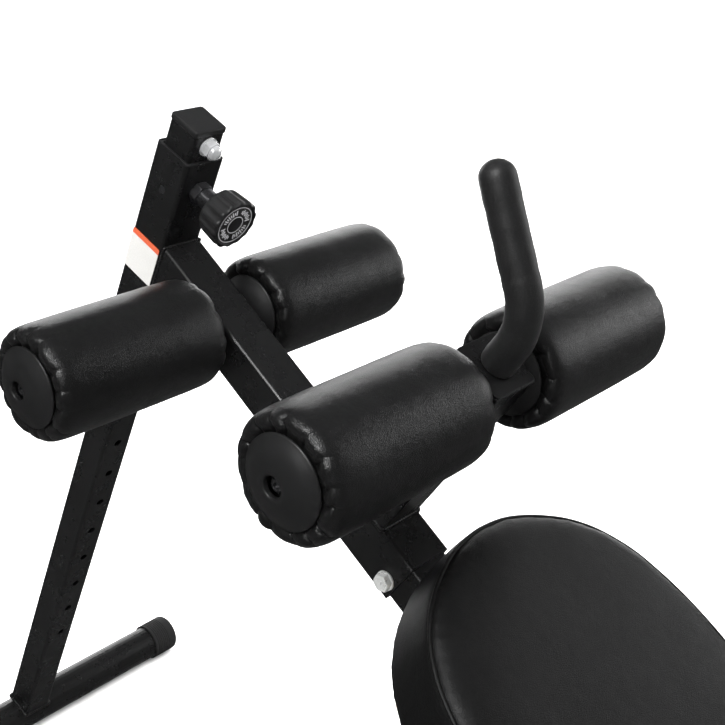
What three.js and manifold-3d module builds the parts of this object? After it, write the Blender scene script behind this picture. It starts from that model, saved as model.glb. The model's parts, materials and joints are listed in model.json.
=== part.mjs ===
// Slant sit-up bench (roman chair): a diagonal beam clamped on a tall perforated post,
// two pairs of padded leg rollers, an upright grip on the front riser, and an upholstered board.
// Millimetres, +Z up, +X from the post towards the board, +Y across. The floor is z = 0.
import * as THREE from "three";
import { mergeVertices } from "three/addons/utils/BufferGeometryUtils.js";
import Module from "manifold-3d";

const wasm = await Module();
wasm.setup();

// ---- driving dimensions ------------------------------------------------------------------
const BENCH_ANGLE = 36.3; // beam below horizontal, degrees
const POST_ANGLE = 25.62; // post from vertical, leaning towards the board, degrees
const OFFSET_X = -425.14; // places the bounding box centre on x = 0
const OFFSET_Z = 866.809; // lifts the soles to z = 0
const GAP = 0.3; // clearance between touching pieces

const BEAM = 50; // square tube, front and rear beams
const BEAM_WALL = 2.5;
const SLEEVE = 50; // square tube round the post
const SLEEVE_WALL = 2;
const POST = 40; // square perforated post
const POST_WALL = 2;
const SOCKET = 57; // square tube that joins the two beams, and the riser
const SOCKET_WALL = 2.9;

const SLEEVE_U = 82.3; // where the post axis crosses the beam axis
const SLEEVE_TOP = 122.9;
const SLEEVE_BOTTOM = -110;
const POST_TOP = 152;
const POST_CAP_TOP = 157.5;
const HOLE_PITCH = 53.8;
const HOLE_COUNT = 15;
const HOLE_R = 5.2;
const PIN_S = 88.4; // height of the pull pin above the beam axis, along the post
const STOP_S = 139.5;
const BASE_S = -877.9; // axis of the front stabiliser, along the post
const REAR_U = 1290; // axis of the rear stabiliser, along the beam
const REAR_W = -95.06; // and below it
const STAB_R = 25;
const STAB_WALL = 2.5;
const FRONT_STAB_HALF = 255;
const REAR_STAB_HALF = 235;
const FOOT_R = 27.6;
const FOOT_FLAT = 26.5; // sole below the stabiliser axis
const FOOT_LEN = 42;

const BACK_U = 191.6; // back axle, in the beam
const BACK_W = 0;
const FRONT_U = 447; // front axle, in the riser
const FRONT_W = 210.3;
const AXLE_R = 8;
const AXLE_HALF = 240;
const ROLLER_R = 56.6;
const ROLLER_IN = 27.4; // inner disc face from the centre plane, back pair
const ROLLER_LEN = 222.6;
const FRONT_SHIFT = 2.2; // the riser is wider than the beam
const DISC_R = 40;
const DISC_DOME = 11.2;

const SOCKET_U0 = 405;
const SOCKET_U1 = 523;
const RISER_TOP = 240.2;
const PLATE = 3;
const BOLT_U = 511;
const BOLT_W = -9;

const BAR_R = 11;
const FOAM_R = 16.4;
const BEND_R = 65;
const BEND_DEG = 55;
const GRIP_FOOT = 266;
const GRIP_TOP = 88;

const PAD_U0 = 531;
const PAD_U1 = 1400;
const PAD_HALF = 173;
const BOARD_W0 = 28.6;
const BOARD_W1 = 42.6;
const PAD_W1 = 114;

// ---- materials ---------------------------------------------------------------------------
const std = (color, roughness, metalness) => () =>
  new THREE.MeshStandardMaterial({ color, roughness, metalness });
const paint = std(0x17181a, 0.35, 0.4);
const leather = std(0x121213, 0.5, 0.0);
const plastic = std(0x1b1b1c, 0.6, 0.0);
const capPlastic = std(0x161617, 0.45, 0.0);
const rubber = std(0x1a1a1a, 0.85, 0.0);
const foam = std(0x202022, 0.9, 0.0);
const zinc = std(0xb9bdc0, 0.35, 0.9);
const chrome = std(0xd8dadc, 0.12, 1.0);
const wood = std(0x9a7b52, 0.8, 0.0);
const paper = std(0xe9e6df, 0.6, 0.0);
const steel = std(0x8d9194, 0.4, 0.9);

// ---- solids ------------------------------------------------------------------------------
function solid(geometry) {
  const g = geometry.index ? geometry.clone() : mergeVertices(geometry.clone(), 1e-4);
  g.deleteAttribute("normal");
  g.deleteAttribute("uv");
  const m = mergeVertices(g, 1e-4);
  return new wasm.Manifold(
    new wasm.Mesh({
      numProp: 3,
      vertProperties: new Float32Array(m.attributes.position.array),
      triVerts: new Uint32Array(m.index.array),
    }),
  );
}
function geometryOf(s) {
  const m = s.getMesh();
  const g = new THREE.BufferGeometry();
  g.setAttribute("position", new THREE.BufferAttribute(new Float32Array(m.vertProperties), 3));
  g.setIndex(new THREE.BufferAttribute(new Uint32Array(m.triVerts), 1));
  g.computeVertexNormals();
  return g;
}
function cut(geometry, ...tools) {
  let s = solid(geometry);
  for (const t of tools) s = s.subtract(solid(t));
  return geometryOf(s);
}
function join(...parts) {
  let s = solid(parts[0]);
  for (const t of parts.slice(1)) s = s.add(solid(t));
  return geometryOf(s);
}
function roundedRect(w, h, r, n = 3, P = THREE.Shape) {
  const p = new P();
  const pts = [];
  for (const [cx, cy, a0] of [
    [w / 2 - r, h / 2 - r, 0],
    [-w / 2 + r, h / 2 - r, 90],
    [-w / 2 + r, -h / 2 + r, 180],
    [w / 2 - r, -h / 2 + r, 270],
  ])
    for (let i = 0; i <= n; i++) {
      const a = ((a0 + (90 * i) / n) * Math.PI) / 180;
      pts.push(new THREE.Vector2(cx + r * Math.cos(a), cy + r * Math.sin(a)));
    }
  p.setFromPoints(pts);
  return p;
}
// Square tube along local +Z from z0 to z1.
function squareTube(size, wall, z0, z1, r = 4.5) {
  const s = roundedRect(size, size, r);
  s.holes.push(roundedRect(size - 2 * wall, size - 2 * wall, Math.max(r - wall, 0.8), 2, THREE.Path));
  const g = new THREE.ExtrudeGeometry(s, { depth: z1 - z0, bevelEnabled: false, steps: 1 });
  return g.translate(0, 0, z0);
}
function roundTube(ro, ri, z0, z1, n = 32) {
  const s = new THREE.Shape();
  s.absarc(0, 0, ro, 0, Math.PI * 2, false);
  const h = new THREE.Path();
  h.absarc(0, 0, ri, 0, Math.PI * 2, true);
  s.holes.push(h);
  const g = new THREE.ExtrudeGeometry(s, {
    depth: z1 - z0,
    bevelEnabled: false,
    steps: 1,
    curveSegments: n,
  });
  return g.translate(0, 0, z0);
}
// Solid rod along local +Z.
function rod(r, z0, z1, n = 20) {
  return new THREE.CylinderGeometry(r, r, z1 - z0, n)
    .rotateX(Math.PI / 2)
    .translate(0, 0, (z0 + z1) / 2);
}
// Turned body about local +Z from [radius, z] pairs; a ring profile closes on itself.
function turned(profile, n = 32, ring = false) {
  const pts = profile.map(([r, z]) => new THREE.Vector2(r, z));
  if (ring) pts.push(pts[0].clone());
  return new THREE.LatheGeometry(pts, n).rotateX(Math.PI / 2);
}
// A turned body must face out: flip the profile when its volume is negative.
function lathe(profile, n = 32, ring = false) {
  const g = turned(profile, n, ring);
  const s = solid(g);
  return s.volume() > 0 ? geometryOf(s) : geometryOf(solid(turned([...profile].reverse(), n, ring)));
}
const box = (x, y, z) => new THREE.BoxGeometry(x, y, z);
const plug = (size, depth) => new THREE.ExtrudeGeometry(roundedRect(size, size, 3), { depth, bevelEnabled: false });
const acrossY = (g) => g.rotateX(-Math.PI / 2); // local +Z to +Y
const alongX = (g) => g.rotateY(Math.PI / 2); // local +Z to +X

// ---- frames ------------------------------------------------------------------------------
const root = new THREE.Group();
const bench = new THREE.Group(); // x along the beam, z square to it
bench.rotation.y = THREE.MathUtils.degToRad(BENCH_ANGLE);
bench.position.set(OFFSET_X, 0, OFFSET_Z);
const postFrame = new THREE.Group(); // z up the post, x towards the board
postFrame.rotation.y = THREE.MathUtils.degToRad(POST_ANGLE);
{
  const o = new THREE.Vector3(SLEEVE_U, 0, 0).applyAxisAngle(
    new THREE.Vector3(0, 1, 0),
    THREE.MathUtils.degToRad(BENCH_ANGLE),
  );
  postFrame.position.set(o.x + OFFSET_X, 0, o.z + OFFSET_Z);
}
root.add(bench, postFrame);

function add(parent, name, geometry, material, x = 0, y = 0, z = 0) {
  const m = new THREE.Mesh(geometry, material());
  m.name = name;
  m.position.set(x, y, z);
  parent.add(m);
  return m;
}

// ---- post, its cap and its base ----------------------------------------------------------
const holeTools = [];
for (let i = 0; i < HOLE_COUNT; i++)
  holeTools.push(alongX(rod(HOLE_R, 10, 30, 12)).translate(0, 0, PIN_S - i * HOLE_PITCH));
holeTools.push(alongX(rod(5.3, 10, 30, 12)).translate(0, 0, STOP_S));
add(
  postFrame,
  "post_tube",
  cut(squareTube(POST, POST_WALL, BASE_S + STAB_R + GAP, POST_TOP, 4), ...holeTools),
  paint,
);
add(
  postFrame,
  "post_top_cap",
  join(
    new THREE.ExtrudeGeometry(roundedRect(POST - 0.6, POST - 0.6, 4), {
      depth: POST_CAP_TOP - POST_TOP - GAP - 3,
      bevelEnabled: true,
      bevelThickness: 1.5,
      bevelSize: 1.5,
      bevelOffset: -1.5,
      bevelSegments: 2,
    }).translate(0, 0, POST_TOP + GAP + 1.5),
    plug(POST - 2 * POST_WALL - 0.8, 8).translate(0, 0, POST_TOP - 7.4),
  ),
  capPlastic,
);
// Domed nut and bolt that keep the post in the sleeve.
add(
  postFrame,
  "stop_bolt",
  join(
    alongX(rod(4.8, 14, 26, 14)),
    alongX(rod(10.8, POST / 2 + GAP, POST / 2 + 2.4, 20)),
    alongX(
      new THREE.CylinderGeometry(10.2, 10.2, 8.5, 6).rotateX(Math.PI / 2).translate(0, 0, POST / 2 + 6.5),
    ),
    alongX(
      lathe(
        [
          [0, POST / 2 + 1.5],
          [7.9, POST / 2 + 1.5],
          [7.9, POST / 2 + 13],
          [6.2, POST / 2 + 15.9],
          [3.4, POST / 2 + 17.3],
          [0, POST / 2 + 17.6],
        ],
        18,
      ),
    ),
  ),
  chrome,
  0,
  0,
  STOP_S,
);
const postBase = new THREE.Group();
postBase.position.set(0, 0, BASE_S);
postBase.rotation.y = -postFrame.rotation.y;
postFrame.add(postBase);
add(postBase, "front_stabiliser", acrossY(roundTube(STAB_R, STAB_R - STAB_WALL, -FRONT_STAB_HALF, FRONT_STAB_HALF, 14)), paint);
function foot(side, half) {
  const y0 = half + GAP - 30;
  const g = cut(
    join(
      acrossY(rod(FOOT_R, y0, y0 + FOOT_LEN, 28)),
    ),
    box(80, 200, 20).translate(0, y0 + 20, -FOOT_FLAT - 10),
    acrossY(rod(STAB_R + GAP, y0 - 5, half + GAP, 28)),
  );
  return side < 0 ? geometryOf(solid(g.rotateZ(Math.PI))) : g;
}
add(postBase, "front_foot_left", foot(-1, FRONT_STAB_HALF), rubber);
add(postBase, "front_foot_right", foot(1, FRONT_STAB_HALF), rubber);

// ---- sleeve on the post, its bushings and its label --------------------------------------
add(
  postFrame,
  "sleeve",
  cut(
    squareTube(SLEEVE, SLEEVE_WALL, SLEEVE_BOTTOM, SLEEVE_TOP, 4.5),
    alongX(rod(6.6, 15, 35, 16)).translate(0, 0, PIN_S),
    acrossY(rod(4.4, -35, -15, 12)).translate(0, 0, 78),
  ),
  paint,
);
for (const [name, z0, z1] of [
  ["sleeve_bushing_top", SLEEVE_TOP - 24, SLEEVE_TOP - 0.6],
  ["sleeve_bushing_bottom", SLEEVE_BOTTOM + 0.6, SLEEVE_BOTTOM + 34],
])
  add(postFrame, name, squareTube(SLEEVE - 2 * SLEEVE_WALL - 0.6, 2.35, z0, z1, 3), plastic);
add(postFrame, "sleeve_grub_screw", acrossY(rod(3.9, -24.4, -20.6, 12)), zinc, 0, 0, 78);
add(
  postFrame,
  "label",
  new THREE.ExtrudeGeometry(roundedRect(44, 49, 2, 2), { depth: 0.4, bevelEnabled: false })
    .rotateX(Math.PI / 2)
    .translate(-1, -SLEEVE / 2 - GAP, -10),
  paper,
);

// ---- pull pin ----------------------------------------------------------------------------
const pinFrame = new THREE.Group(); // z out along the pin
pinFrame.position.set(0, 0, PIN_S);
pinFrame.rotation.y = Math.PI / 2;
postFrame.add(pinFrame);
add(
  pinFrame,
  "pin_barrel",
  join(
    cut(
      new THREE.CylinderGeometry(12.6, 12.6, 10, 6).rotateX(Math.PI / 2).translate(0, 0, 30.3),
      rod(9.4, 20, 60, 24),
    ),
    lathe(
      [
        [6.4, SLEEVE / 2 + GAP],
        [10.6, SLEEVE / 2 + GAP],
        [10.6, 52],
        [9.8, 53],
        [6.4, 53],
        [6.4, 50.5],
        [8.9, 50.5],
        [8.9, 27.4],
        [6.4, 27.4],
      ],
      24,
      true,
    ),
  ),
  zinc,
);
add(
  pinFrame,
  "pin_plunger",
  lathe(
    [
      [0, 20.6],
      [4.6, 20.6],
      [4.9, 21.6],
      [4.9, 28.2],
      [8.3, 28.2],
      [8.3, 31.2],
      [5.6, 31.2],
      [5.6, 82],
      [0, 82],
    ],
    20,
  ),
  steel,
);
{
  const turns = 3;
  const pts = [];
  for (let i = 0; i <= turns * 10; i++) {
    const a = (i / 10) * Math.PI * 2;
    pts.push(new THREE.Vector3(7.2 * Math.cos(a), 7.2 * Math.sin(a), 32.4 + (i / (turns * 10)) * 6.2));
  }
  const wire = new THREE.Shape();
  wire.absarc(0, 0, 0.6, 0, Math.PI * 2, false);
  add(
    pinFrame,
    "pin_spring",
    geometryOf(
      solid(
        new THREE.ExtrudeGeometry(wire, {
          steps: turns * 10,
          curveSegments: 3,
          bevelEnabled: false,
          extrudePath: new THREE.CatmullRomCurve3(pts),
        }),
      ),
    ),
    steel,
  );
}
{
  const lobes = 10;
  const s = new THREE.Shape();
  const pts = [];
  for (let i = 0; i < lobes * 6; i++) {
    const a = ((i + 0.5) / (lobes * 6)) * Math.PI * 2;
    const r = 27.2 + 1.5 * Math.sign(Math.cos(lobes * a)) * Math.pow(Math.abs(Math.cos(lobes * a)), 0.7);
    pts.push(new THREE.Vector2(r * Math.cos(a), r * Math.sin(a)));
  }
  s.setFromPoints(pts);
  add(
    pinFrame,
    "pin_knob",
    cut(
      join(
        new THREE.ExtrudeGeometry(s, {
          depth: 24.5,
          bevelEnabled: true,
          bevelThickness: 2.5,
          bevelSize: 2.5,
          bevelOffset: -2.5,
          bevelSegments: 1,
        }).translate(0, 0, 59),
        lathe(
          [
            [0, 54.5],
            [11.5, 54.5],
            [12.5, 60],
            [17, 68],
            [0, 68],
          ],
          24,
        ),
      ),
      rod(5.9, 50, 82.4, 20),
    ),
    capPlastic,
  );
}

// ---- front beam, socket, riser -----------------------------------------------------------
{
  const beam = alongX(squareTube(BEAM, BEAM_WALL, 92, 450));
  const th = THREE.MathUtils.degToRad(POST_ANGLE - BENCH_ANGLE);
  const half = box(100, 120, 400)
    .translate(SLEEVE / 2 + GAP - 50, 0, 0)
    .rotateY(th)
    .translate(SLEEVE_U, 0, 0);
  add(
    bench,
    "front_beam",
    cut(beam, half, acrossY(rod(AXLE_R + GAP, -40, 40, 20)).translate(BACK_U, 0, BACK_W)),
    paint,
  );
}
const bolts = [BOLT_U];
add(
  bench,
  "beam_socket",
  cut(
    alongX(squareTube(SOCKET, SOCKET_WALL, SOCKET_U0, SOCKET_U1, 4.5)),
    ...bolts.map((u) => acrossY(rod(5.4, -40, 40, 14)).translate(u, 0, BOLT_W)),
  ),
  paint,
);
add(
  bench,
  "riser",
  cut(
    squareTube(SOCKET, SOCKET_WALL, SOCKET / 2 + GAP, RISER_TOP, 4.5).translate(FRONT_U, 0, 0),
    acrossY(rod(AXLE_R + GAP, -40, 40, 20)).translate(FRONT_U, 0, FRONT_W),
  ),
  paint,
);
add(
  bench,
  "riser_top_plate",
  cut(
    new THREE.ExtrudeGeometry(roundedRect(SOCKET, SOCKET, 4.5), { depth: PLATE, bevelEnabled: false }),
    rod(BAR_R - 3, -5, 10, 20),
  ),
  paint,
  FRONT_U,
  0,
  RISER_TOP + GAP,
);
for (const u of bolts) {
  const h = SOCKET / 2 + GAP;
  add(
    bench,
    "joint_bolt",
    join(
      acrossY(rod(5, -h - 4, h + 11, 16)),
      acrossY(rod(10, -h - 2, -h, 20)),
      acrossY(new THREE.CylinderGeometry(9.2, 9.2, 6.4, 6).rotateX(Math.PI / 2).translate(0, 0, -h - 5.2)),
    ),
    zinc,
    u,
    0,
    BOLT_W,
  );
  add(
    bench,
    "joint_nut",
    cut(
      join(
        acrossY(rod(10, h, h + 2, 20)),
        acrossY(new THREE.CylinderGeometry(9.2, 9.2, 7.4, 6).rotateX(Math.PI / 2).translate(0, 0, h + 5.6)),
      ),
      acrossY(rod(5.35, h - 5, h + 20, 16)),
    ),
    zinc,
    u,
    0,
    BOLT_W,
  );
}

// ---- upright grip ------------------------------------------------------------------------
class GripPath extends THREE.Curve {
  constructor(z0, end) {
    super();
    this.z0 = z0;
    this.a = GRIP_FOOT - z0;
    this.b = (BEND_R * BEND_DEG * Math.PI) / 180;
    this.c = end;
  }
  getPoint(t, out = new THREE.Vector3()) {
    const d = t * (this.a + this.b + this.c);
    if (d <= this.a) return out.set(FRONT_U, 0, this.z0 + d);
    const e = (Math.min(d - this.a, this.b) / BEND_R);
    const x = FRONT_U - BEND_R + BEND_R * Math.cos(e);
    const z = GRIP_FOOT + BEND_R * Math.sin(e);
    const l = Math.max(0, d - this.a - this.b);
    return out.set(x - Math.sin(e) * l, 0, z + Math.cos(e) * l);
  }
}
function along(path, ro, ri, n, steps) {
  const s = new THREE.Shape();
  s.absarc(0, 0, ro, 0, Math.PI * 2, false);
  if (ri) {
    const h = new THREE.Path();
    h.absarc(0, 0, ri, 0, Math.PI * 2, true);
    s.holes.push(h);
  }
  return geometryOf(
    solid(
      new THREE.ExtrudeGeometry(s, { steps, curveSegments: n, bevelEnabled: false, extrudePath: path }),
    ),
  );
}
const gripZ = RISER_TOP + PLATE + 2 * GAP;
add(bench, "grip_bar", along(new GripPath(gripZ, GRIP_TOP - 4), BAR_R, BAR_R - 2, 9, 14), paint);
add(bench, "foam_grip", along(new GripPath(gripZ + 0.2, GRIP_TOP), FOAM_R, BAR_R + GAP, 10, 14), foam);
{
  const end = new GripPath(gripZ, GRIP_TOP).getPoint(1);
  const cap = add(
    bench,
    "grip_end_cap",
    join(
      lathe(
        [
          [0, GAP],
          [16.2, GAP],
          [16.0, 3],
          [14.2, 6.6],
          [10.6, 9.4],
          [5.6, 11],
          [0, 11.6],
        ],
        24,
      ),
      rod(BAR_R - 2 - GAP, -12, 2, 16),
    ),
    rubber,
    end.x,
    0,
    end.z,
  );
  cap.rotation.y = -THREE.MathUtils.degToRad(BEND_DEG);
}

// ---- leg rollers -------------------------------------------------------------------------
function rollerPieces(tag, side, u, w, shift) {
  const g = new THREE.Group();
  g.position.set(u, 0, w);
  if (side < 0) g.rotation.z = Math.PI;
  bench.add(g);
  const a = ROLLER_IN + shift; // inner disc face
  const b = a + ROLLER_LEN; // outer disc face
  const y0 = a + DISC_DOME;
  const y1 = b - DISC_DOME;
  add(
    g,
    `${tag}_pad`,
    acrossY(
      lathe(
        [
          [13, y0 + 1.2],
          [DISC_R + 1, y0 + 0.6],
          [48, y0 + 2],
          [54.4, y0 + 7.6],
          [ROLLER_R, y0 + 15],
          [ROLLER_R, y1 - 15],
          [54.4, y1 - 7.6],
          [48, y1 - 2],
          [DISC_R + 1, y1 - 0.6],
          [13, y1 - 1.2],
        ],
        28,
        true,
      ),
    ),
    leather,
  );
  add(g, `${tag}_core`, acrossY(roundTube(12.7, AXLE_R + 0.6, y0 + 0.9, y1 - 0.9, 10)), plastic);
  const dome = (z, d) =>
    lathe(
      [
        [AXLE_R + 0.8, z],
        [16, z],
        [28, z + d * 3],
        [37, z + d * 7.8],
        [DISC_R, z + d * DISC_DOME],
        [AXLE_R + 0.8, z + d * (DISC_DOME + 0.3)],
      ],
      24,
      true,
    );
  add(g, `${tag}_inner_disc`, acrossY(dome(a, 1)), plastic);
  add(g, `${tag}_outer_disc`, acrossY(dome(b, -1)), plastic);
}
rollerPieces("back_left_roller", -1, BACK_U, BACK_W, 0);
rollerPieces("back_right_roller", 1, BACK_U, BACK_W, 0);
rollerPieces("front_left_roller", -1, FRONT_U, FRONT_W, FRONT_SHIFT);
rollerPieces("front_right_roller", 1, FRONT_U, FRONT_W, FRONT_SHIFT);
for (const [tag, u, w, shift] of [
  ["back", BACK_U, BACK_W, 0],
  ["front", FRONT_U, FRONT_W, FRONT_SHIFT],
]) {
  const h = AXLE_HALF + shift;
  add(bench, `${tag}_axle`, acrossY(roundTube(AXLE_R, 4.3, -h, h, 10)), steel, u, 0, w);
  for (const side of [-1, 1]) {
    const g = join(
      acrossY(rod(8.2, h + GAP, h + 2.2, 18)),
      acrossY(rod(6.4, h + 2, h + 5.6, 16)),
      acrossY(rod(4, h - 22, h + 3, 12)),
    );
    add(bench, `${tag}_axle_screw_${side < 0 ? "left" : "right"}`, side < 0 ? g.rotateZ(Math.PI) : g, zinc, u, 0, w);
  }
}

// ---- rear beam, leg and base -------------------------------------------------------------
const REAR_BEAM_END = 1322;
add(
  bench,
  "rear_beam",
  cut(
    alongX(squareTube(BEAM, BEAM_WALL, 470, REAR_BEAM_END)),
    acrossY(rod(5.4, -40, 40, 14)).translate(BOLT_U, 0, BOLT_W),
  ),
  paint,
);
add(
  bench,
  "rear_beam_cap",
  join(
    alongX(
      new THREE.ExtrudeGeometry(roundedRect(BEAM - 0.4, BEAM - 0.4, 4.5), { depth: 3.5, bevelEnabled: false }),
    ).translate(REAR_BEAM_END + GAP, 0, 0),
    alongX(plug(BEAM - 2 * BEAM_WALL - 0.8, 14)).translate(REAR_BEAM_END - 12, 0, 0),
  ),
  capPlastic,
);
const saddle = acrossY(rod(STAB_R + GAP, -60, 60, 28)).translate(REAR_U, 0, REAR_W);
add(
  bench,
  "rear_leg",
  cut(squareTube(BEAM, BEAM_WALL, REAR_W + 9, -BEAM / 2 - GAP).translate(REAR_U, 0, 0), saddle),
  paint,
);
const rearBase = new THREE.Group();
rearBase.position.set(REAR_U, 0, REAR_W);
rearBase.rotation.y = -bench.rotation.y;
bench.add(rearBase);
add(rearBase, "rear_stabiliser", acrossY(roundTube(STAB_R, STAB_R - STAB_WALL, -REAR_STAB_HALF, REAR_STAB_HALF, 14)), paint);
add(rearBase, "rear_foot_left", foot(-1, REAR_STAB_HALF), rubber);
add(rearBase, "rear_foot_right", foot(1, REAR_STAB_HALF), rubber);

// ---- board and cushion -------------------------------------------------------------------
const NOSE = [
  [531, 0],
  [532.2, 18],
  [535, 36],
  [540, 53],
  [549, 74],
  [560, 94.5],
  [573, 112.5],
  [590, 130],
  [609, 143.5],
  [630, 154],
  [654, 162],
  [678, 167.6],
  [704, 171.4],
  [736, PAD_HALF],
];
function padOutline(inset) {
  const half = NOSE.map(([u, y]) => {
    const k = (PAD_HALF - inset) / PAD_HALF;
    return [u + inset * Math.max(0, 1 - (u - PAD_U0) / 205), y * k];
  });
  const r = 55 - inset * 0.4;
  const x1 = PAD_U1 - inset;
  const h = PAD_HALF - inset;
  for (let i = 0; i <= 6; i++) {
    const a = (Math.PI / 2) * (1 - i / 6);
    half.push([x1 - r + r * Math.cos(a), h - r + r * Math.sin(a)]);
  }
  const pts = half.map(([u, y]) => new THREE.Vector2(u, y));
  for (const [u, y] of half.slice(1).reverse()) pts.push(new THREE.Vector2(u, -y));
  const s = new THREE.Shape();
  s.setFromPoints(pts);
  return s;
}
const BRACKET_U = [640, 1230];
const screwAt = BRACKET_U.flatMap((u) => [
  [u, -70],
  [u, 70],
]);
add(
  bench,
  "pad_board",
  cut(
    new THREE.ExtrudeGeometry(padOutline(7), { depth: BOARD_W1 - BOARD_W0, bevelEnabled: false }).translate(0, 0, BOARD_W0),
    ...screwAt.map(([u, y]) => rod(3.6, 20, 60, 12).translate(u, y, 0)),
  ),
  wood,
);
add(
  bench,
  "pad_cushion",
  cut(
    new THREE.ExtrudeGeometry(padOutline(0), {
      depth: PAD_W1 - BOARD_W1 - GAP - 12,
      bevelEnabled: true,
      bevelThickness: 12,
      bevelSize: 10,
      bevelOffset: -10,
      bevelSegments: 3,
    }).translate(0, 0, BOARD_W1 + GAP),
    box(1200, 500, 60).translate(960, 0, BOARD_W1 + GAP - 30),
  ),
  leather,
);
for (const [i, u] of BRACKET_U.entries()) {
  add(
    bench,
    i ? "pad_bracket_rear" : "pad_bracket_front",
    cut(
      new THREE.ExtrudeGeometry(roundedRect(40, 190, 8), { depth: 2.9, bevelEnabled: false }),
      rod(3.6, -5, 10, 12).translate(0, -70, 0),
      rod(3.6, -5, 10, 12).translate(0, 70, 0),
    ),
    paint,
    u,
    0,
    BEAM / 2 + GAP,
  );
}
const screwNames = ["front_left", "front_right", "rear_left", "rear_right"];
for (const [i, [u, y]] of screwAt.entries())
  add(
    bench,
    "pad_screw_" + screwNames[i],
    join(
      rod(3.2, BEAM / 2 - 1, BOARD_W1 - 1, 12),
      new THREE.CylinderGeometry(6.4, 6.4, 4.6, 6).rotateX(Math.PI / 2).translate(0, 0, BEAM / 2 - 2.3),
    ),
    zinc,
    u,
    y,
    0,
  );

export default root;
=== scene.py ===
import json
import math
import random

import bmesh
import bpy
import numpy as np
from mathutils import Matrix, Vector


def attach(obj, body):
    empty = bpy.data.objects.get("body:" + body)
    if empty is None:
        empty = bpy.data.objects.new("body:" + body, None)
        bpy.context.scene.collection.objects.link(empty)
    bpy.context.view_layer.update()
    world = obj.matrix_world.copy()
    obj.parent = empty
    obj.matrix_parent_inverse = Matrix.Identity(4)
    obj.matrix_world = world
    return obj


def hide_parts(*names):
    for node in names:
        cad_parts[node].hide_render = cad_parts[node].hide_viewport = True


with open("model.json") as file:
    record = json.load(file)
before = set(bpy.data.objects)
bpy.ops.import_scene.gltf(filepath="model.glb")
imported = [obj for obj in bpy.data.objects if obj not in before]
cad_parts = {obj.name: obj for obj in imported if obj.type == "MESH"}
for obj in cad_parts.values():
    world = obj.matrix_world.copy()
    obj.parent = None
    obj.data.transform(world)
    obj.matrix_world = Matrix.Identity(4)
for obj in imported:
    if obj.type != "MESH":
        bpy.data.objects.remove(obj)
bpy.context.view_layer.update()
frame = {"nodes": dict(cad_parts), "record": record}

random.seed(7)
rng = np.random.default_rng(7)
N = frame["nodes"]
scene = bpy.context.scene

# ---- the design's own numbers (part.mjs), in millimetres -----------------------------------
OX, OZ = -425.14, 866.809
BENCH, POSTA = math.radians(36.3), math.radians(25.62)
M_BENCH = Matrix.Translation((OX / 1000, 0, OZ / 1000)) @ Matrix.Rotation(BENCH, 4, "Y")
_o = M_BENCH @ Vector((0.0823, 0, 0))
M_POST = Matrix.Translation(_o) @ Matrix.Rotation(POSTA, 4, "Y")
PIN_S = 88.4
M_PIN = M_POST @ Matrix.Translation((0, 0, PIN_S / 1000)) @ Matrix.Rotation(math.pi / 2, 4, "Y")

# ---- camera ---------------------------------------------------------------------------------
F_PX, CX, CY = 1262.44, 360.43, 349.09
cam_bench = Vector((0.67227, -0.82677, 0.91603))
cam_loc = M_BENCH @ cam_bench
fwd = Vector((-0.61867, 0.69523, -0.36591)).normalized()
right = Vector((0.74704, 0.66478, 0.0)).normalized()
up = right.cross(fwd).normalized()
cam = bpy.data.objects.new("camera", bpy.data.cameras.new("camera"))
scene.collection.objects.link(cam)
cam.matrix_world = Matrix.Translation(cam_loc) @ Matrix((right, up, -fwd)).transposed().to_4x4()
cam.data.sensor_width = 36.0
cam.data.lens = F_PX / 725 * 36.0
cam.data.shift_x = (362.5 - CX) / 725
cam.data.shift_y = (CY - 362.5) / 725
cam.data.clip_start = 0.05
cam.data.clip_end = 60
scene.camera = cam

# ---- node helpers -----------------------------------------------------------------------------
def material(name):
    m = bpy.data.materials.new(name)
    m.use_nodes = True
    nt = m.node_tree
    return m, nt, nt.nodes["Principled BSDF"]


def node(nt, kind, **kw):
    n = nt.nodes.new(kind)
    for k, v in kw.items():
        if k in n.inputs:
            n.inputs[k].default_value = v
        else:
            setattr(n, k, v)
    return n


def ramp(nt, src, stops):
    r = nt.nodes.new("ShaderNodeValToRGB")
    r.color_ramp.elements[0].position, r.color_ramp.elements[0].color = stops[0][0], (*stops[0][1], 1)
    r.color_ramp.elements[1].position, r.color_ramp.elements[1].color = stops[-1][0], (*stops[-1][1], 1)
    for p, c in stops[1:-1]:
        e = r.color_ramp.elements.new(p)
        e.color = (*c, 1)
    nt.links.new(src, r.inputs["Fac"])
    return r.outputs["Color"]


def grey(a):
    return (a, a, a * 1.03)


def noise_tex(nt, vec, scale, detail=4, rough=0.55):
    n = node(nt, "ShaderNodeTexNoise", Scale=scale, Detail=detail, Roughness=rough)
    nt.links.new(vec, n.inputs["Vector"])
    return n.outputs["Fac"]


def add_math(nt, op, a, b):
    n = node(nt, "ShaderNodeMath", operation=op)
    for i, v in enumerate((a, b)):
        if isinstance(v, (int, float)):
            n.inputs[i].default_value = v
        else:
            nt.links.new(v, n.inputs[i])
    return n.outputs[0]


def bump_chain(nt, bsdf, layers, bevel=0.0):
    """layers: (height socket, distance, strength). The bevel rounds the facets of a hard edge."""
    normal = None
    if bevel:
        b = node(nt, "ShaderNodeBevel", samples=6, Radius=bevel)
        normal = b.outputs["Normal"]
    for h, dist, strength in layers:
        b = node(nt, "ShaderNodeBump", Strength=strength, Distance=dist)
        nt.links.new(h, b.inputs["Height"])
        if normal is not None:
            nt.links.new(normal, b.inputs["Normal"])
        normal = b.outputs["Normal"]
    if normal is not None:
        nt.links.new(normal, bsdf.inputs["Normal"])


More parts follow.
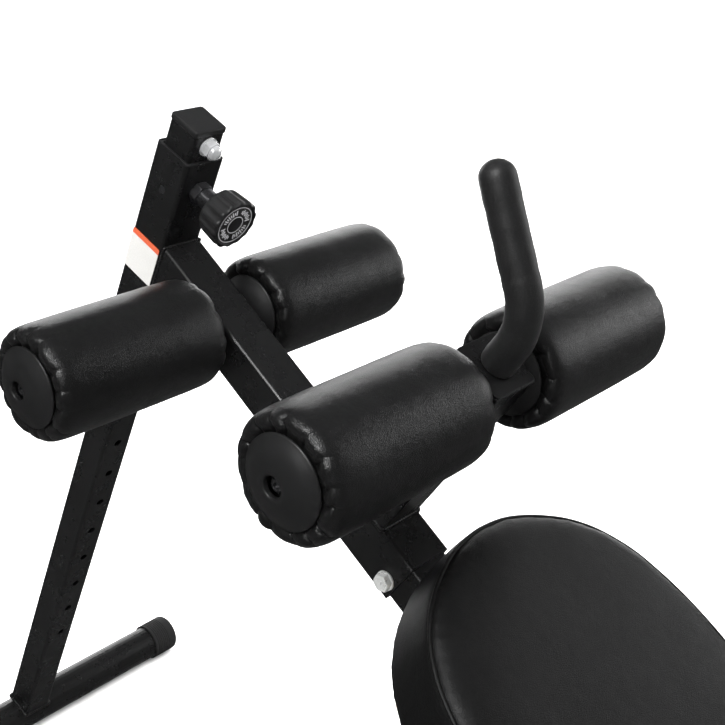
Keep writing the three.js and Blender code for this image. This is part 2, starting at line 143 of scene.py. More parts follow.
def edge_mask(nt, radius):
    """1 on convex or concave edges, 0 on flats."""
    bev = node(nt, "ShaderNodeBevel", samples=6, Radius=radius)
    geo = nt.nodes.new("ShaderNodeNewGeometry")
    dot = node(nt, "ShaderNodeVectorMath", operation="DOT_PRODUCT")
    nt.links.new(bev.outputs["Normal"], dot.inputs[0])
    nt.links.new(geo.outputs["Normal"], dot.inputs[1])
    inv = add_math(nt, "SUBTRACT", 1.0, dot.outputs["Value"])
    return add_math(nt, "MULTIPLY", inv, 4.0)


# ---- materials ------------------------------------------------------------------------------
def make_paint(name="powder_coat", bevel=0.0014, base=0.0030):
    m, nt, b = material(name)
    tc = nt.nodes.new("ShaderNodeTexCoord").outputs["Object"]
    big = noise_tex(nt, tc, 9, 5)
    peel = noise_tex(nt, tc, 260, 3)
    edge = edge_mask(nt, bevel)
    worn = add_math(nt, "MULTIPLY", edge, noise_tex(nt, tc, 55, 6, 0.7))
    worn = add_math(nt, "SUBTRACT", worn, 0.18)
    worn.node.use_clamp = True
    base_c = ramp(nt, big, [(0.3, grey(base)), (0.7, grey(base * 1.7))])
    mix = node(nt, "ShaderNodeMix", data_type="RGBA")
    nt.links.new(worn, mix.inputs[0])
    nt.links.new(base_c, mix.inputs[6])
    mix.inputs[7].default_value = (0.030, 0.030, 0.031, 1)
    nt.links.new(mix.outputs[2], b.inputs["Base Color"])
    b.inputs["Metallic"].default_value = 0.0
    b.inputs["Specular IOR Level"].default_value = 0.42
    r = node(nt, "ShaderNodeMapRange")
    nt.links.new(noise_tex(nt, tc, 34, 5, 0.65), r.inputs["Value"])
    r.inputs["To Min"].default_value = 0.22
    r.inputs["To Max"].default_value = 0.34
    nt.links.new(r.outputs["Result"], b.inputs["Roughness"])
    bump_chain(nt, b, [(noise_tex(nt, tc, 70, 3), 0.0002, 0.06), (peel, 0.00004, 0.05)], bevel)
    return m


def make_leather(name, grain=620, base=0.0105, rough=(0.36, 0.5), coat=0.0, spec=0.5, sheen=0.01):
    m, nt, b = material(name)
    tc = nt.nodes.new("ShaderNodeTexCoord").outputs["Object"]
    warp = node(nt, "ShaderNodeTexNoise", Scale=70.0, Detail=2.0)
    nt.links.new(tc, warp.inputs["Vector"])
    mixv = node(nt, "ShaderNodeVectorMath", operation="MULTIPLY_ADD")
    nt.links.new(warp.outputs["Color"], mixv.inputs[0])
    mixv.inputs[1].default_value = (0.004, 0.004, 0.004)
    nt.links.new(tc, mixv.inputs[2])
    v = node(nt, "ShaderNodeTexVoronoi", Scale=float(grain), feature="DISTANCE_TO_EDGE")
    nt.links.new(mixv.outputs[0], v.inputs["Vector"])
    cells = node(nt, "ShaderNodeMapRange")
    nt.links.new(v.outputs["Distance"], cells.inputs["Value"])
    cells.inputs["From Max"].default_value = 0.22
    crease = noise_tex(nt, tc, 46, 7, 0.62)
    col = ramp(nt, noise_tex(nt, tc, 14, 6), [(0.3, grey(base)), (0.72, grey(base * 1.55))])
    dark = node(nt, "ShaderNodeMix", data_type="RGBA", blend_type="MULTIPLY")
    dark.inputs[0].default_value = 0.45
    nt.links.new(col, dark.inputs[6])
    nt.links.new(cells.outputs["Result"], dark.inputs[7])
    nt.links.new(dark.outputs[2], b.inputs["Base Color"])
    r = node(nt, "ShaderNodeMapRange")
    nt.links.new(noise_tex(nt, tc, 26, 6, 0.6), r.inputs["Value"])
    r.inputs["To Min"].default_value, r.inputs["To Max"].default_value = rough
    nt.links.new(r.outputs["Result"], b.inputs["Roughness"])
    b.inputs["Specular IOR Level"].default_value = spec
    b.inputs["Sheen Weight"].default_value = sheen
    b.inputs["Sheen Roughness"].default_value = 0.5
    b.inputs["Coat Weight"].default_value = coat
    bump_chain(nt, b, [(crease, 0.0012, 0.34), (cells.outputs["Result"], 0.0002, 0.5)])
    return m


def make_plastic(name, base=0.012, rough=(0.42, 0.58), grain=1500, depth=0.00006, bevel=0.0, spec=0.5):
    m, nt, b = material(name)
    tc = nt.nodes.new("ShaderNodeTexCoord").outputs["Object"]
    spark = noise_tex(nt, tc, grain, 2)
    col = ramp(nt, noise_tex(nt, tc, 22, 6), [(0.3, grey(base)), (0.75, grey(base * 1.6))])
    nt.links.new(col, b.inputs["Base Color"])
    r = node(nt, "ShaderNodeMapRange")
    nt.links.new(noise_tex(nt, tc, 40, 6, 0.7), r.inputs["Value"])
    r.inputs["To Min"].default_value, r.inputs["To Max"].default_value = rough
    nt.links.new(r.outputs["Result"], b.inputs["Roughness"])
    b.inputs["Specular IOR Level"].default_value = spec
    bump_chain(nt, b, [(spark, depth, 0.5), (noise_tex(nt, tc, 120, 4), 0.0002, 0.08)], bevel)
    return m


def make_foam(name):
    m, nt, b = material(name)
    tc = nt.nodes.new("ShaderNodeTexCoord").outputs["Object"]
    v = node(nt, "ShaderNodeTexVoronoi", Scale=900.0, feature="F1")
    nt.links.new(tc, v.inputs["Vector"])
    n2 = noise_tex(nt, tc, 480, 5, 0.7)
    speck = add_math(nt, "MULTIPLY", v.outputs["Distance"], n2)
    col = ramp(nt, speck, [(0.05, grey(0.0022)), (0.3, grey(0.0042)), (0.48, grey(0.009))])
    nt.links.new(col, b.inputs["Base Color"])
    r = node(nt, "ShaderNodeMapRange")
    nt.links.new(noise_tex(nt, tc, 60, 4), r.inputs["Value"])
    r.inputs["To Min"].default_value, r.inputs["To Max"].default_value = 0.40, 0.56
    nt.links.new(r.outputs["Result"], b.inputs["Roughness"])
    b.inputs["Sheen Weight"].default_value = 0.03
    b.inputs["Sheen Roughness"].default_value = 0.5
    bump_chain(nt, b, [(noise_tex(nt, tc, 90, 5), 0.0006, 0.2), (v.outputs["Distance"], 0.00025, 0.32)])
    return m


def make_metal(name, base, rough, metal=1.0, scratch=0.12, bevel=0.0):
    m, nt, b = material(name)
    tc = nt.nodes.new("ShaderNodeTexCoord").outputs["Object"]
    col = ramp(nt, noise_tex(nt, tc, 60, 6, 0.7), [(0.25, tuple(c * 0.72 for c in base)), (0.75, base)])
    nt.links.new(col, b.inputs["Base Color"])
    b.inputs["Metallic"].default_value = metal
    r = node(nt, "ShaderNodeMapRange")
    nt.links.new(noise_tex(nt, tc, 180, 6, 0.7), r.inputs["Value"])
    r.inputs["To Min"].default_value, r.inputs["To Max"].default_value = rough
    nt.links.new(r.outputs["Result"], b.inputs["Roughness"])
    mp = node(nt, "ShaderNodeMapping")
    nt.links.new(tc, mp.inputs["Vector"])
    mp.inputs["Scale"].default_value = (300, 3000, 300)
    bump_chain(nt, b, [(noise_tex(nt, mp.outputs[0], 1.0, 2), 0.00004, scratch)], bevel)
    return m


def make_wood(name):
    m, nt, b = material(name)
    tc = nt.nodes.new("ShaderNodeTexCoord").outputs["Object"]
    mp = node(nt, "ShaderNodeMapping")
    mp.inputs["Rotation"].default_value = (0, -BENCH, 0)
    mp.inputs["Scale"].default_value = (1.4, 14, 90)
    nt.links.new(tc, mp.inputs["Vector"])
    w = noise_tex(nt, mp.outputs[0], 6, 8, 0.6)
    col = ramp(nt, w, [(0.28, (0.17, 0.095, 0.045)), (0.5, (0.30, 0.19, 0.095)), (0.75, (0.40, 0.27, 0.15))])
    nt.links.new(col, b.inputs["Base Color"])
    r = node(nt, "ShaderNodeMapRange")
    nt.links.new(w, r.inputs["Value"])
    r.inputs["To Min"].default_value, r.inputs["To Max"].default_value = 0.6, 0.8
    nt.links.new(r.outputs["Result"], b.inputs["Roughness"])
    bump_chain(nt, b, [(w, 0.0005, 0.4)])
    return m


def make_label(name):
    """Pale film with a plain warm band along its top: height comes from the row frame."""
    m, nt, b = material(name)
    tc = nt.nodes.new("ShaderNodeTexCoord").outputs["Object"]
    inv = M_POST.inverted()
    dot = node(nt, "ShaderNodeVectorMath", operation="DOT_PRODUCT")
    nt.links.new(tc, dot.inputs[0])
    dot.inputs[1].default_value = tuple(inv[2][:3])
    h = add_math(nt, "ADD", dot.outputs["Value"], float(inv[2][3]))  # metres along the post
    fibre = noise_tex(nt, tc, 700, 4)
    step = add_math(nt, "ADD", h, 0.0)
    r = node(nt, "ShaderNodeMapRange")
    nt.links.new(step, r.inputs["Value"])
    r.inputs["From Min"].default_value, r.inputs["From Max"].default_value = 0.0078, 0.0082
    mix = node(nt, "ShaderNodeMix", data_type="RGBA")
    nt.links.new(r.outputs["Result"], mix.inputs[0])
    white = ramp(nt, fibre, [(0.3, (0.38, 0.375, 0.36)), (0.7, (0.46, 0.455, 0.44))])
    warm = ramp(nt, fibre, [(0.3, (0.40, 0.055, 0.016)), (0.7, (0.48, 0.078, 0.022))])
    nt.links.new(white, mix.inputs[6])
    nt.links.new(warm, mix.inputs[7])
    nt.links.new(mix.outputs[2], b.inputs["Base Color"])
    rr = node(nt, "ShaderNodeMapRange")
    nt.links.new(fibre, rr.inputs["Value"])
    rr.inputs["To Min"].default_value, rr.inputs["To Max"].default_value = 0.35, 0.5
    nt.links.new(rr.outputs["Result"], b.inputs["Roughness"])
    bump_chain(nt, b, [(fibre, 0.00005, 0.3)])
    return m


PAINT = make_paint()
ROLLER = make_leather("roller_leather", 620, 0.0028, (0.25, 0.36))
PADL = make_leather("board_leather", 560, 0.0020, (0.42, 0.54), 0.0, 0.36, 0.0)
DISC = make_plastic("disc_plastic", 0.0045, (0.34, 0.46), 1300, 0.00007, 0, 0.42)
CAPP = make_plastic("cap_plastic", 0.0055, (0.34, 0.5), 1600, 0.00006, 0.0008, 0.42)
LINER = make_plastic("liner_plastic", 0.009, (0.5, 0.62), 1500, 0.00006, 0.0006, 0.4)
RUBBER = make_plastic("foot_rubber", 0.006, (0.62, 0.82), 700, 0.00018, 0.0012, 0.3)
FOAM = make_foam("grip_foam")
ZINC = make_metal("zinc_plate", (0.70, 0.71, 0.70), (0.2, 0.38), 0.5, 0.25, 0.0006)
CHROME = make_metal("chrome", (0.80, 0.81, 0.82), (0.06, 0.18), 0.72, 0.08, 0.0006)
STEEL = make_metal("drawn_steel", (0.44, 0.45, 0.46), (0.25, 0.42), 0.8, 0.3, 0.0005)
BLACKM = make_metal("blackened_steel", (0.10, 0.10, 0.105), (0.22, 0.36), 0.9, 0.25, 0.0006)
WOOD = make_wood("board_plywood")
LABEL = make_label("label_film")
THREAD = make_plastic("sewing_thread", 0.02, (0.5, 0.7), 2500, 0.0001)

by_slot = {
    "frame_paint": PAINT, "roller_leather": ROLLER, "pad_leather": PADL, "disc_plastic": DISC,
    "cap_plastic": CAPP, "liner_plastic": LINER, "foot_rubber": RUBBER, "grip_foam": FOAM,
    "zinc": ZINC, "chrome": CHROME, "steel": STEEL, "board": WOOD, "label": LABEL,
}
for sp in frame["record"]["subparts"]:
    o = N[sp["node"]]
    o.data.materials.clear()
    o.data.materials.append(by_slot[sp["material_slot"]])


N["sleeve_grub_screw"].data.materials[0] = BLACKM


# ---- mesh helpers -----------------------------------------------------------------------------
def finish_mesh(name, verts, faces, mat, body, smooth=True, angle=None):
    me = bpy.data.meshes.new(name)
    me.from_pydata([tuple(map(float, v)) for v in verts], [], [tuple(int(i) for i in f) for f in faces])
    me.validate()
    bm = bmesh.new()
    bm.from_mesh(me)
    bmesh.ops.recalc_face_normals(bm, faces=bm.faces)
    bm.to_mesh(me)
    bm.free()
    me.materials.append(mat)
    for p in me.polygons:
        p.use_smooth = smooth
    if angle is not None:
        me.set_sharp_from_angle(angle=math.radians(angle))
    o = bpy.data.objects.new(name, me)
    scene.collection.objects.link(o)
    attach(o, body)
    return o


def to_world(M, pts_mm):
    """pts_mm: (n, 3) array in the local frame M, in millimetres."""
    R = np.array(M.to_3x3())
    t = np.array(M.to_translation())
    return (np.asarray(pts_mm) / 1000.0) @ R.T + t


def grid_faces(nu, nv, wrap_u=True, base=0):
    f = []
    for j in range(nv - 1):
        for i in range(nu if wrap_u else nu - 1):
            a = j * nu + i
            b = j * nu + (i + 1) % nu
            f.append((base + a, base + b, base + b + nu, base + a + nu))
    return f


def revolve(name, profile, M, mat, body, n=96, angle=35, smooth_steps=0, closed=False):
    """profile: [(r, z)] in mm about local Z, from one pole to the other or closed."""
    pr = np.array(profile, float)
    nv = len(pr)
    th = np.linspace(0, 2 * math.pi, n, endpoint=False)
    pts = np.stack(
        [np.outer(pr[:, 0], np.cos(th)), np.outer(pr[:, 0], np.sin(th)), np.outer(pr[:, 1], np.ones(n))], -1
    ).reshape(-1, 3)
    faces = grid_faces(n, nv)
    if closed:
        faces += [(j + (nv - 1) * n, (j + 1) % n + (nv - 1) * n, (j + 1) % n, j) for j in range(n)]
    else:
        faces.append(tuple(range(n)))
        faces.append(tuple(range((nv - 1) * n, nv * n)))
    return finish_mesh(name, to_world(M, pts), faces, mat, body, True, angle)


def arc(cx, cz, r, a0, a1, n):
    return [(cx + r * math.cos(math.radians(a0 + (a1 - a0) * i / n)), cz + r * math.sin(math.radians(a0 + (a1 - a0) * i / n))) for i in range(n + 1)]


def smoothstep(x):
    x = np.clip(x, 0, 1)
    return x * x * (3 - 2 * x)


def value_noise(n, knots, seed, wrap=True):
    g = np.random.default_rng(seed)
    k = g.uniform(-1, 1, knots)
    if wrap:
        k = np.append(k, k[0])
    x = np.linspace(0, len(k) - 1, n, endpoint=not wrap)
    i = np.clip(np.floor(x).astype(int), 0, len(k) - 2)
    t = smoothstep(x - i)
    return k[i] * (1 - t) + k[i + 1] * t


# ---- leg rollers -------------------------------------------------------------------------------
R_BODY = 56.6
IN_FACE, LEN, DOME = 27.4, 222.6, 11.2


def roller_cover(tag, M, body, shift, seed):
    """Sewn synthetic leather over foam, gathered under the disc at each end. Local Z runs outward."""
    a, b = IN_FACE + shift, IN_FACE + shift + LEN
    y0, y1 = a + DOME, b - DOME
    # section from the inner tuck to the outer tuck: radius, height, gather weight
    end = [
        (14.0, 7.0, 0), (25, 6.6, 0.1), (33, 5.6, 0.35), (37.2, 4.4, 0.7), (40.2, 2.4, 1.0), (42.4, 0.9, 1.0), (44.6, 0.1, 1.0), (47.0, 0.0, 1.0),
        (49.3, 0.6, 0.9), (51.4, 1.9, 0.66), (53.1, 3.9, 0.4), (54.5, 6.6, 0.22), (55.5, 9.8, 0.13),
        (56.1, 14.0, 0.07), (56.45, 20.0, 0.03), (56.6, 28, 0.01),
    ]
    prof = [(r, y0 + h, w, 0) for r, h, w in end]
    for k in range(1, 22):
        t = k / 22
        y = (y0 + 28) * (1 - t) + (y1 - 28) * t
        prof.append((56.65 + 0.25 * math.sin(math.pi * t), y, 0, 0))
    prof += [(r, y1 - h, w, 1) for r, h, w in reversed(end)]
    n = 320
    th = np.linspace(0, 2 * math.pi, n, endpoint=False)
    g = np.random.default_rng(seed)

    def gathers(count, s):
        gg = np.random.default_rng(s)
        edges = np.sort((np.arange(count) + gg.uniform(-0.28, 0.28, count)) / count * 2 * math.pi)
        depth = gg.uniform(0.55, 1.25, count)
        out = np.zeros(n)
        ridge = np.zeros(n)
        for i in range(count):
            e0, e1 = edges[i], edges[(i + 1) % count] + (2 * math.pi if i == count - 1 else 0)
            for off in (0, 2 * math.pi, -2 * math.pi):
                t = (th + off - e0) / (e1 - e0)
                m = (t >= 0) & (t < 1)
                out[m] = np.sin(math.pi * t[m]) ** 0.42 * depth[i]
                ridge[m] = np.exp(-((t[m] - 0.5) ** 2) / 0.03)
        return out, ridge

    gin, _ = gathers(14, seed * 3 + 1)
    gout, _ = gathers(15, seed * 3 + 2)
    fine_in, fine_out = value_noise(n, 46, seed + 11), value_noise(n, 50, seed + 12)
    low = [value_noise(n, 7, seed * 17 + k) for k in range(len(prof))]
    pts = []
    P = np.array([(p[0], p[1]) for p in prof])
    T = np.gradient(P, axis=0)
    Nn = np.stack([T[:, 1], -T[:, 0]], 1)
    Nn /= np.linalg.norm(Nn, axis=1, keepdims=True)
    for j, (r, y, w, side) in enumerate(prof):
        gth, fn = (gout, fine_out) if side else (gin, fine_in)
        twist = 0.05 * w * math.sin(j * 0.9)
        sh = int(twist / (2 * math.pi) * n)
        amp = 4.4 * w
        d = amp * (np.roll(gth, sh) - 0.98) + 0.5 * w * np.roll(fn, sh)
        lw = 0.5 * (low[j] + low[max(0, j - 1)]) if 3 < j < len(prof) - 4 else 0
        d = d + 0.16 * lw * (1 - w)
        if r < 38:
            d = d * 0.3
        rr = r + d * Nn[j, 0]
        yy = y + d * Nn[j, 1]
        pts.append(np.stack([rr * np.cos(th), rr * np.sin(th), yy], 1))
    pts = np.concatenate(pts)
    nv = len(prof)
    faces = grid_faces(n, nv)
    faces += [(j + (nv - 1) * n, (j + 1) % n + (nv - 1) * n, (j + 1) % n, j) for j in range(n)]
    o = finish_mesh(f"{tag}_cover", to_world(M, pts), faces, ROLLER, body, True)
    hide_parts(f"{tag}_pad")
    return o


def roller_disc(tag, which, M, body, shift):
    """Moulded dished end disc with a rolled rim and a recessed hub."""
    if which == "inner":
        z, d = IN_FACE + shift, 1
    else:
        z, d = IN_FACE + shift + LEN, -1
    q = [
        (9.0, 5.0), (9.0, 1.4), (9.5, 0.55), (10.4, 0.15), (11.8, 0.0), (14, 0.1), (17.0, 0.55), (20.5, 1.3), (24.5, 2.4),
        (28.3, 3.9), (31.4, 5.6), (34.0, 7.3), (36.0, 8.7), (37.3, 9.6), (38.2, 10.2), (38.9, 10.6), (39.5, 11.3), (39.6, 12.1), (39.2, 12.8),
        (38.0, 13.1), (35.0, 12.4), (30, 9.5), (20, 6.4), (12, 5.6),
    ]
    o = revolve(f"{tag}_{which}_face", [(r, z + d * h) for r, h in q], M, DISC, body, 96, 60, closed=True)
    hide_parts(f"{tag}_{which}_disc")
    return o


def axle_screw(node_name, M, h, which):
    """Button-head screw on a washer, sunk in the disc's hub. Local Z runs outward."""
    prof = [(0.0, h - 20), (3.9, h - 20), (3.9, h + 0.3), (8.3, h + 0.3), (8.5, h + 0.6), (8.5, h + 1.7), (8.2, h + 2.0), (6.6, h + 2.0),
            (6.6, h + 2.9), (6.3, h + 3.9), (5.5, h + 4.8), (4.4, h + 5.4), (2.9, h + 5.6), (2.75, h + 5.5), (2.75, h + 3.2), (0.0, h + 2.9)]
    o = revolve(node_name + "_detail", prof, M, BLACKM, "frame", 48, 40)
    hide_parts(node_name)
    return o


ROLLERS = [
    ("back_left_roller", -1, 191.6, 0.0, 0.0, 21),
    ("back_right_roller", 1, 191.6, 0.0, 0.0, 34),
    ("front_left_roller", -1, 447.0, 210.3, 2.2, 47),
    ("front_right_roller", 1, 447.0, 210.3, 2.2, 58),
]
for tag, side, u, w, shift, seed in ROLLERS:
    M = M_BENCH @ Matrix.Translation((u / 1000, 0, w / 1000)) @ Matrix.Rotation(-side * math.pi / 2, 4, "X")
    roller_cover(tag, M, tag, shift, seed)
    roller_disc(tag, "inner", M, tag, shift)
    roller_disc(tag, "outer", M, tag, shift)
    axle_screw(("back" if "back" in tag else "front") + "_axle_screw_" + ("left" if side < 0 else "right"), M, 240 + shift, side)


# ---- grip ----------------------------------------------------------------------------------------
def grip_path(d, z0=240.8 + 3):
    """Centre line of the grip at distance d (mm) from the plate: point and direction in the bench frame."""
    foot, R, bend = 266.0, 65.0, math.radians(55)
    a, bl = foot - z0, R * bend
    if d <= a:
        return np.array([447.0, 0, z0 + d]), np.array([0.0, 0, 1])
    e = min(d - a, bl) / R
    l = max(0.0, d - a - bl)
    x, z = 447 - R + R * math.cos(e), foot + R * math.sin(e)
    t = np.array([-math.sin(e), 0, math.cos(e)])
    return np.array([x, 0, z]) + t * l, t


def sweep(name, stations, M, mat, body, n=72, disp=None):
    """stations: (centre, tangent, radius)."""
    th = np.linspace(0, 2 * math.pi, n, endpoint=False)
    rows = []
    for k, (c, t, r) in enumerate(stations):
        side = np.array([0, 1.0, 0])
        other = np.cross(t, side)
        rad = r + (disp(k, th) if disp else 0)
        rows.append(c + np.outer(np.cos(th) * rad, side) + np.outer(np.sin(th) * rad, other))
    pts = np.concatenate(rows)
    faces = grid_faces(n, len(stations)) + [tuple(range(n)), tuple(range((len(stations) - 1) * n, len(stations) * n))]
    return finish_mesh(name, to_world(M, pts), faces, mat, body, True)


total = (266 - 243.8) + 65 * math.radians(55) + 88
st = []
for d, r in [(0.2, 11.6), (0.2, 14.6), (0.8, 15.9), (2.0, 16.3)]:
    c, t = grip_path(d)
    st.append((c, t, r))
for k in range(1, 60):
    d = 2 + (total - 3) * k / 60
    c, t = grip_path(d)
    st.append((c, t, 16.4 + 0.12 * math.sin(k * 0.7) + 0.1 * math.sin(k * 0.23)))
for h, r in [(0, 16.4), (3.0, 16.4)] + [(3.0 + 15.6 * math.sin(math.radians(a)), 16.4 * math.cos(math.radians(a))) for a in (10, 20, 30, 40, 50, 60, 69, 77, 83, 87)]:
    c, t = grip_path(total - 1 + h)
    st.append((c, t, r))
foam_noise = [value_noise(72, 9, 300 + k) for k in range(len(st))]
grip = sweep("foam_grip_sleeve", st, M_BENCH, FOAM, "frame", 72, lambda k, th: 0.18 * foam_noise[k])
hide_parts("foam_grip", "grip_end_cap")


# ---- board cushion -------------------------------------------------------------------------------
NOSE = [(531, 0), (532.2, 18), (535, 36), (540, 53), (549, 74), (560, 94.5), (573, 112.5), (590, 130), (609, 143.5),
        (630, 154), (654, 162), (678, 167.6), (704, 171.4), (736, 173)]
PAD_END, PAD_HALF = 1400.0, 173.0


def pad_outline(inset, step=6.0):
    """Closed plan outline of the board (bench frame, mm), evenly spaced, going round from the nose."""
    half = [np.array(p, float) for p in NOSE]
    r = 55.0
    for i in range(9):
        a = math.pi / 2 * (1 - i / 8)
        half.append(np.array([PAD_END - r + r * math.cos(a), PAD_HALF - r + r * math.sin(a)]))
    full = half + [np.array([p[0], -p[1]]) for p in half[:0:-1]]
    pts = np.array(full)
    # smooth the polyline, then resample
    for _ in range(3):
        q = np.roll(pts, -1, 0)
        new = np.empty((len(pts) * 2, 2))
        new[0::2] = pts * 0.75 + q * 0.25
        new[1::2] = pts * 0.25 + q * 0.75
        pts = new
    seg = np.linalg.norm(np.roll(pts, -1, 0) - pts, axis=1)
    s = np.concatenate([[0], np.cumsum(seg)])
    L = s[-1]
    m = int(L / step)
    x = np.linspace(0, L, m, endpoint=False)
    ext = np.vstack([pts, pts[:1]])
    out = np.stack([np.interp(x, s, ext[:, 0]), np.interp(x, s, ext[:, 1])], 1)
    t = np.roll(out, -1, 0) - np.roll(out, 1, 0)
    t /= np.linalg.norm(t, axis=1, keepdims=True)
    nrm = np.stack([t[:, 1], -t[:, 0]], 1)
    c = out.mean(0)
    if np.sum((out - c) * nrm) < 0:
        nrm = -nrm
    return out - nrm * inset, nrm


def build_cushion():
    """Foam block in a sewn cover: crowned top panel, welted seam, side band drawn under the board."""
    out, nrm = pad_outline(0)
    n = len(out)
    g1, g2, g3 = value_noise(n, 34, 5), value_noise(n, 90, 6), value_noise(n, 190, 9)
    rows = []
    # (inset, height, pucker weight)
    section = [
        (38, 28.9, 0), (26, 28.7, 0.2), (14, 28.9, 0.5), (6.5, 29.8, 0.6), (2.8, 32.0, 0.5), (1.6, 36, 0.4), (1.0, 42, 0.3), (0.6, 50, 0.3),
        (0.4, 60, 0.35), (0.5, 70, 0.45), (0.8, 80, 0.6), (1.3, 88, 0.8), (1.9, 94, 1.0), (2.8, 98.2, 1.0), (3.6, 100.2, 0.6),
        (4.0, 101.4, 0.3), (4.4, 102.6, 0.6), (5.6, 104.4, 1.0), (8.0, 106.4, 1.0), (11.5, 108.2, 0.8), (16, 109.6, 0.6), (22, 110.6, 0.4), (30, 111.2, 0.25),
    ]
    for ins, h, w in section:
        d = w * (0.55 * g1 + 0.5 * g2 + 0.35 * g3)
        p = out - nrm * (ins - d)[:, None] if isinstance(d, np.ndarray) else out - nrm * ins
        hh = h + (0.35 * w * g2 if h > 60 else 0)
        rows.append(np.column_stack([p[:, 0], p[:, 1], np.full(n, 0.0) + hh]))
    # top panel: shrink towards the long axis
    base = rows[-1]
    lo, hi = 531 + 110, PAD_END - 110
    for k in range(1, 13):
        t = k / 12
        cx = np.clip(base[:, 0], lo, hi)
        x = base[:, 0] * (1 - t) + cx * t
        y = base[:, 1] * (1 - t)
        crown = 111.2 + 1.2 * math.sin(t * math.pi / 2)
        rows.append(np.column_stack([x, y, np.full(n, crown)]))
    pts = np.concatenate(rows)
    faces = grid_faces(n, len(rows))
    return pts, faces, n, len(rows)


def cushion_piece():
    pts, faces, n, nr = build_cushion()
    me = bpy.data.meshes.new("board_cushion")
    me.from_pydata([tuple(v) for v in to_world(M_BENCH, pts)], [], faces)
    bm = bmesh.new()
    bm.from_mesh(me)
    bmesh.ops.remove_doubles(bm, verts=bm.verts, dist=0.0008)
    bmesh.ops.holes_fill(bm, edges=[e for e in bm.edges if e.is_boundary], sides=0)
    bmesh.ops.recalc_face_normals(bm, faces=bm.faces)
    bm.to_mesh(me)
    bm.free()
    o = bpy.data.objects.new("board_cushion", me)
    scene.collection.objects.link(o)
    return o


def inflate(o, voxel=0.006, pressure=4.0, frames=20, cap=0.0042):
    """Cloth under pressure swells the cover between its held edges; how far a point moves is capped."""
    for x in bpy.context.selected_objects:
        x.select_set(False)
    bpy.context.view_layer.objects.active = o
    o.select_set(True)
    rm = o.modifiers.new("remesh", "REMESH")
    rm.mode = "VOXEL"
    rm.voxel_size = voxel
    rm.use_smooth_shade = True
    bpy.ops.object.modifier_apply(modifier=rm.name)
    start = np.array([v.co for v in o.data.vertices], float)
    inv = M_BENCH.inverted()
    R, t = np.array(inv.to_3x3()), np.array(inv.to_translation())
    loc = (start @ R.T + t) * 1000
    # held: the underside
    hold = np.clip((46 - loc[:, 2]) / 8, 0, 1)
    vg = o.vertex_groups.new(name="held")
    for i, w in enumerate(hold):
        if w > 0.01:
            vg.add([i], float(w), "REPLACE")
    cl = o.modifiers.new("cloth", "CLOTH")
    s = cl.settings
    s.quality = 5
    s.mass = 0.3
    s.tension_stiffness = s.compression_stiffness = 22
    s.shear_stiffness = 8
    s.bending_stiffness = 2.5
    s.use_pressure = True
    s.uniform_pressure_force = pressure
    s.vertex_group_mass = "held"
    s.pin_stiffness = 1.0
    s.effector_weights.gravity = 0
    cl.collision_settings.use_collision = False
    cl.point_cache.frame_start, cl.point_cache.frame_end = 1, frames
    for f in range(1, frames + 1):
        scene.frame_set(f)
    dg = bpy.context.evaluated_depsgraph_get()
    ev = o.evaluated_get(dg).to_mesh()
    end = np.array([v.co for v in ev.vertices], float)
    o.evaluated_get(dg).to_mesh_clear()
    o.modifiers.remove(cl)
    scene.frame_set(1)
    if len(end) != len(start) or not np.isfinite(end).all():
        return start, loc
    # the swelling is kept; the sewn edge stays on its line, so the cover bulges between the seam and the board
    nv = np.empty(len(o.data.vertices) * 3, np.float32)
    o.data.vertices.foreach_get("normal", nv)
    nv = nv.reshape(-1, 3).astype(float)
    ring, _n = pad_outline(0, 6.0)
    from mathutils.kdtree import KDTree
    kd = KDTree(len(ring))
    for i, q in enumerate(ring):
        kd.insert((q[0], q[1], 0), i)
    kd.balance()
    rim = np.array([kd.find((x, y, 0))[2] for x, y in loc[:, :2]])
    seam = np.sqrt(rim ** 2 + (loc[:, 2] - 101.4) ** 2)
    free = 1 - np.exp(-((seam / 20.0) ** 2))
    free *= np.clip((loc[:, 2] - 30) / 18, 0, 1)
    d = end - start
    dn = np.sum(d * nv, axis=1)
    swell = cap * np.tanh(np.clip(dn, 0, None) / cap)
    # the foam under the cover evens out short wrinkles
    ed = np.empty(len(o.data.edges) * 2, np.int32)
    o.data.edges.foreach_get("vertices", ed)
    ed = ed.reshape(-1, 2)
    deg = np.bincount(ed.ravel(), minlength=len(swell)).astype(float)
    for _ in range(30):
        acc = np.bincount(ed[:, 0], swell[ed[:, 1]], len(swell)) + np.bincount(ed[:, 1], swell[ed[:, 0]], len(swell))
        swell = 0.35 * swell + 0.65 * acc / np.maximum(deg, 1)
    side = d - nv * dn[:, None]
    sl = np.linalg.norm(side, axis=1)
    side *= (0.0002 * np.tanh(sl / 0.0002) / np.maximum(sl, 1e-9))[:, None]
    new = start + (nv * swell[:, None] + side) * free[:, None]
    return new, loc


cushion = cushion_piece()
new, loc = inflate(cushion)
cushion.data.vertices.foreach_set("co", new.astype(np.float32).ravel())
cushion.data.update()
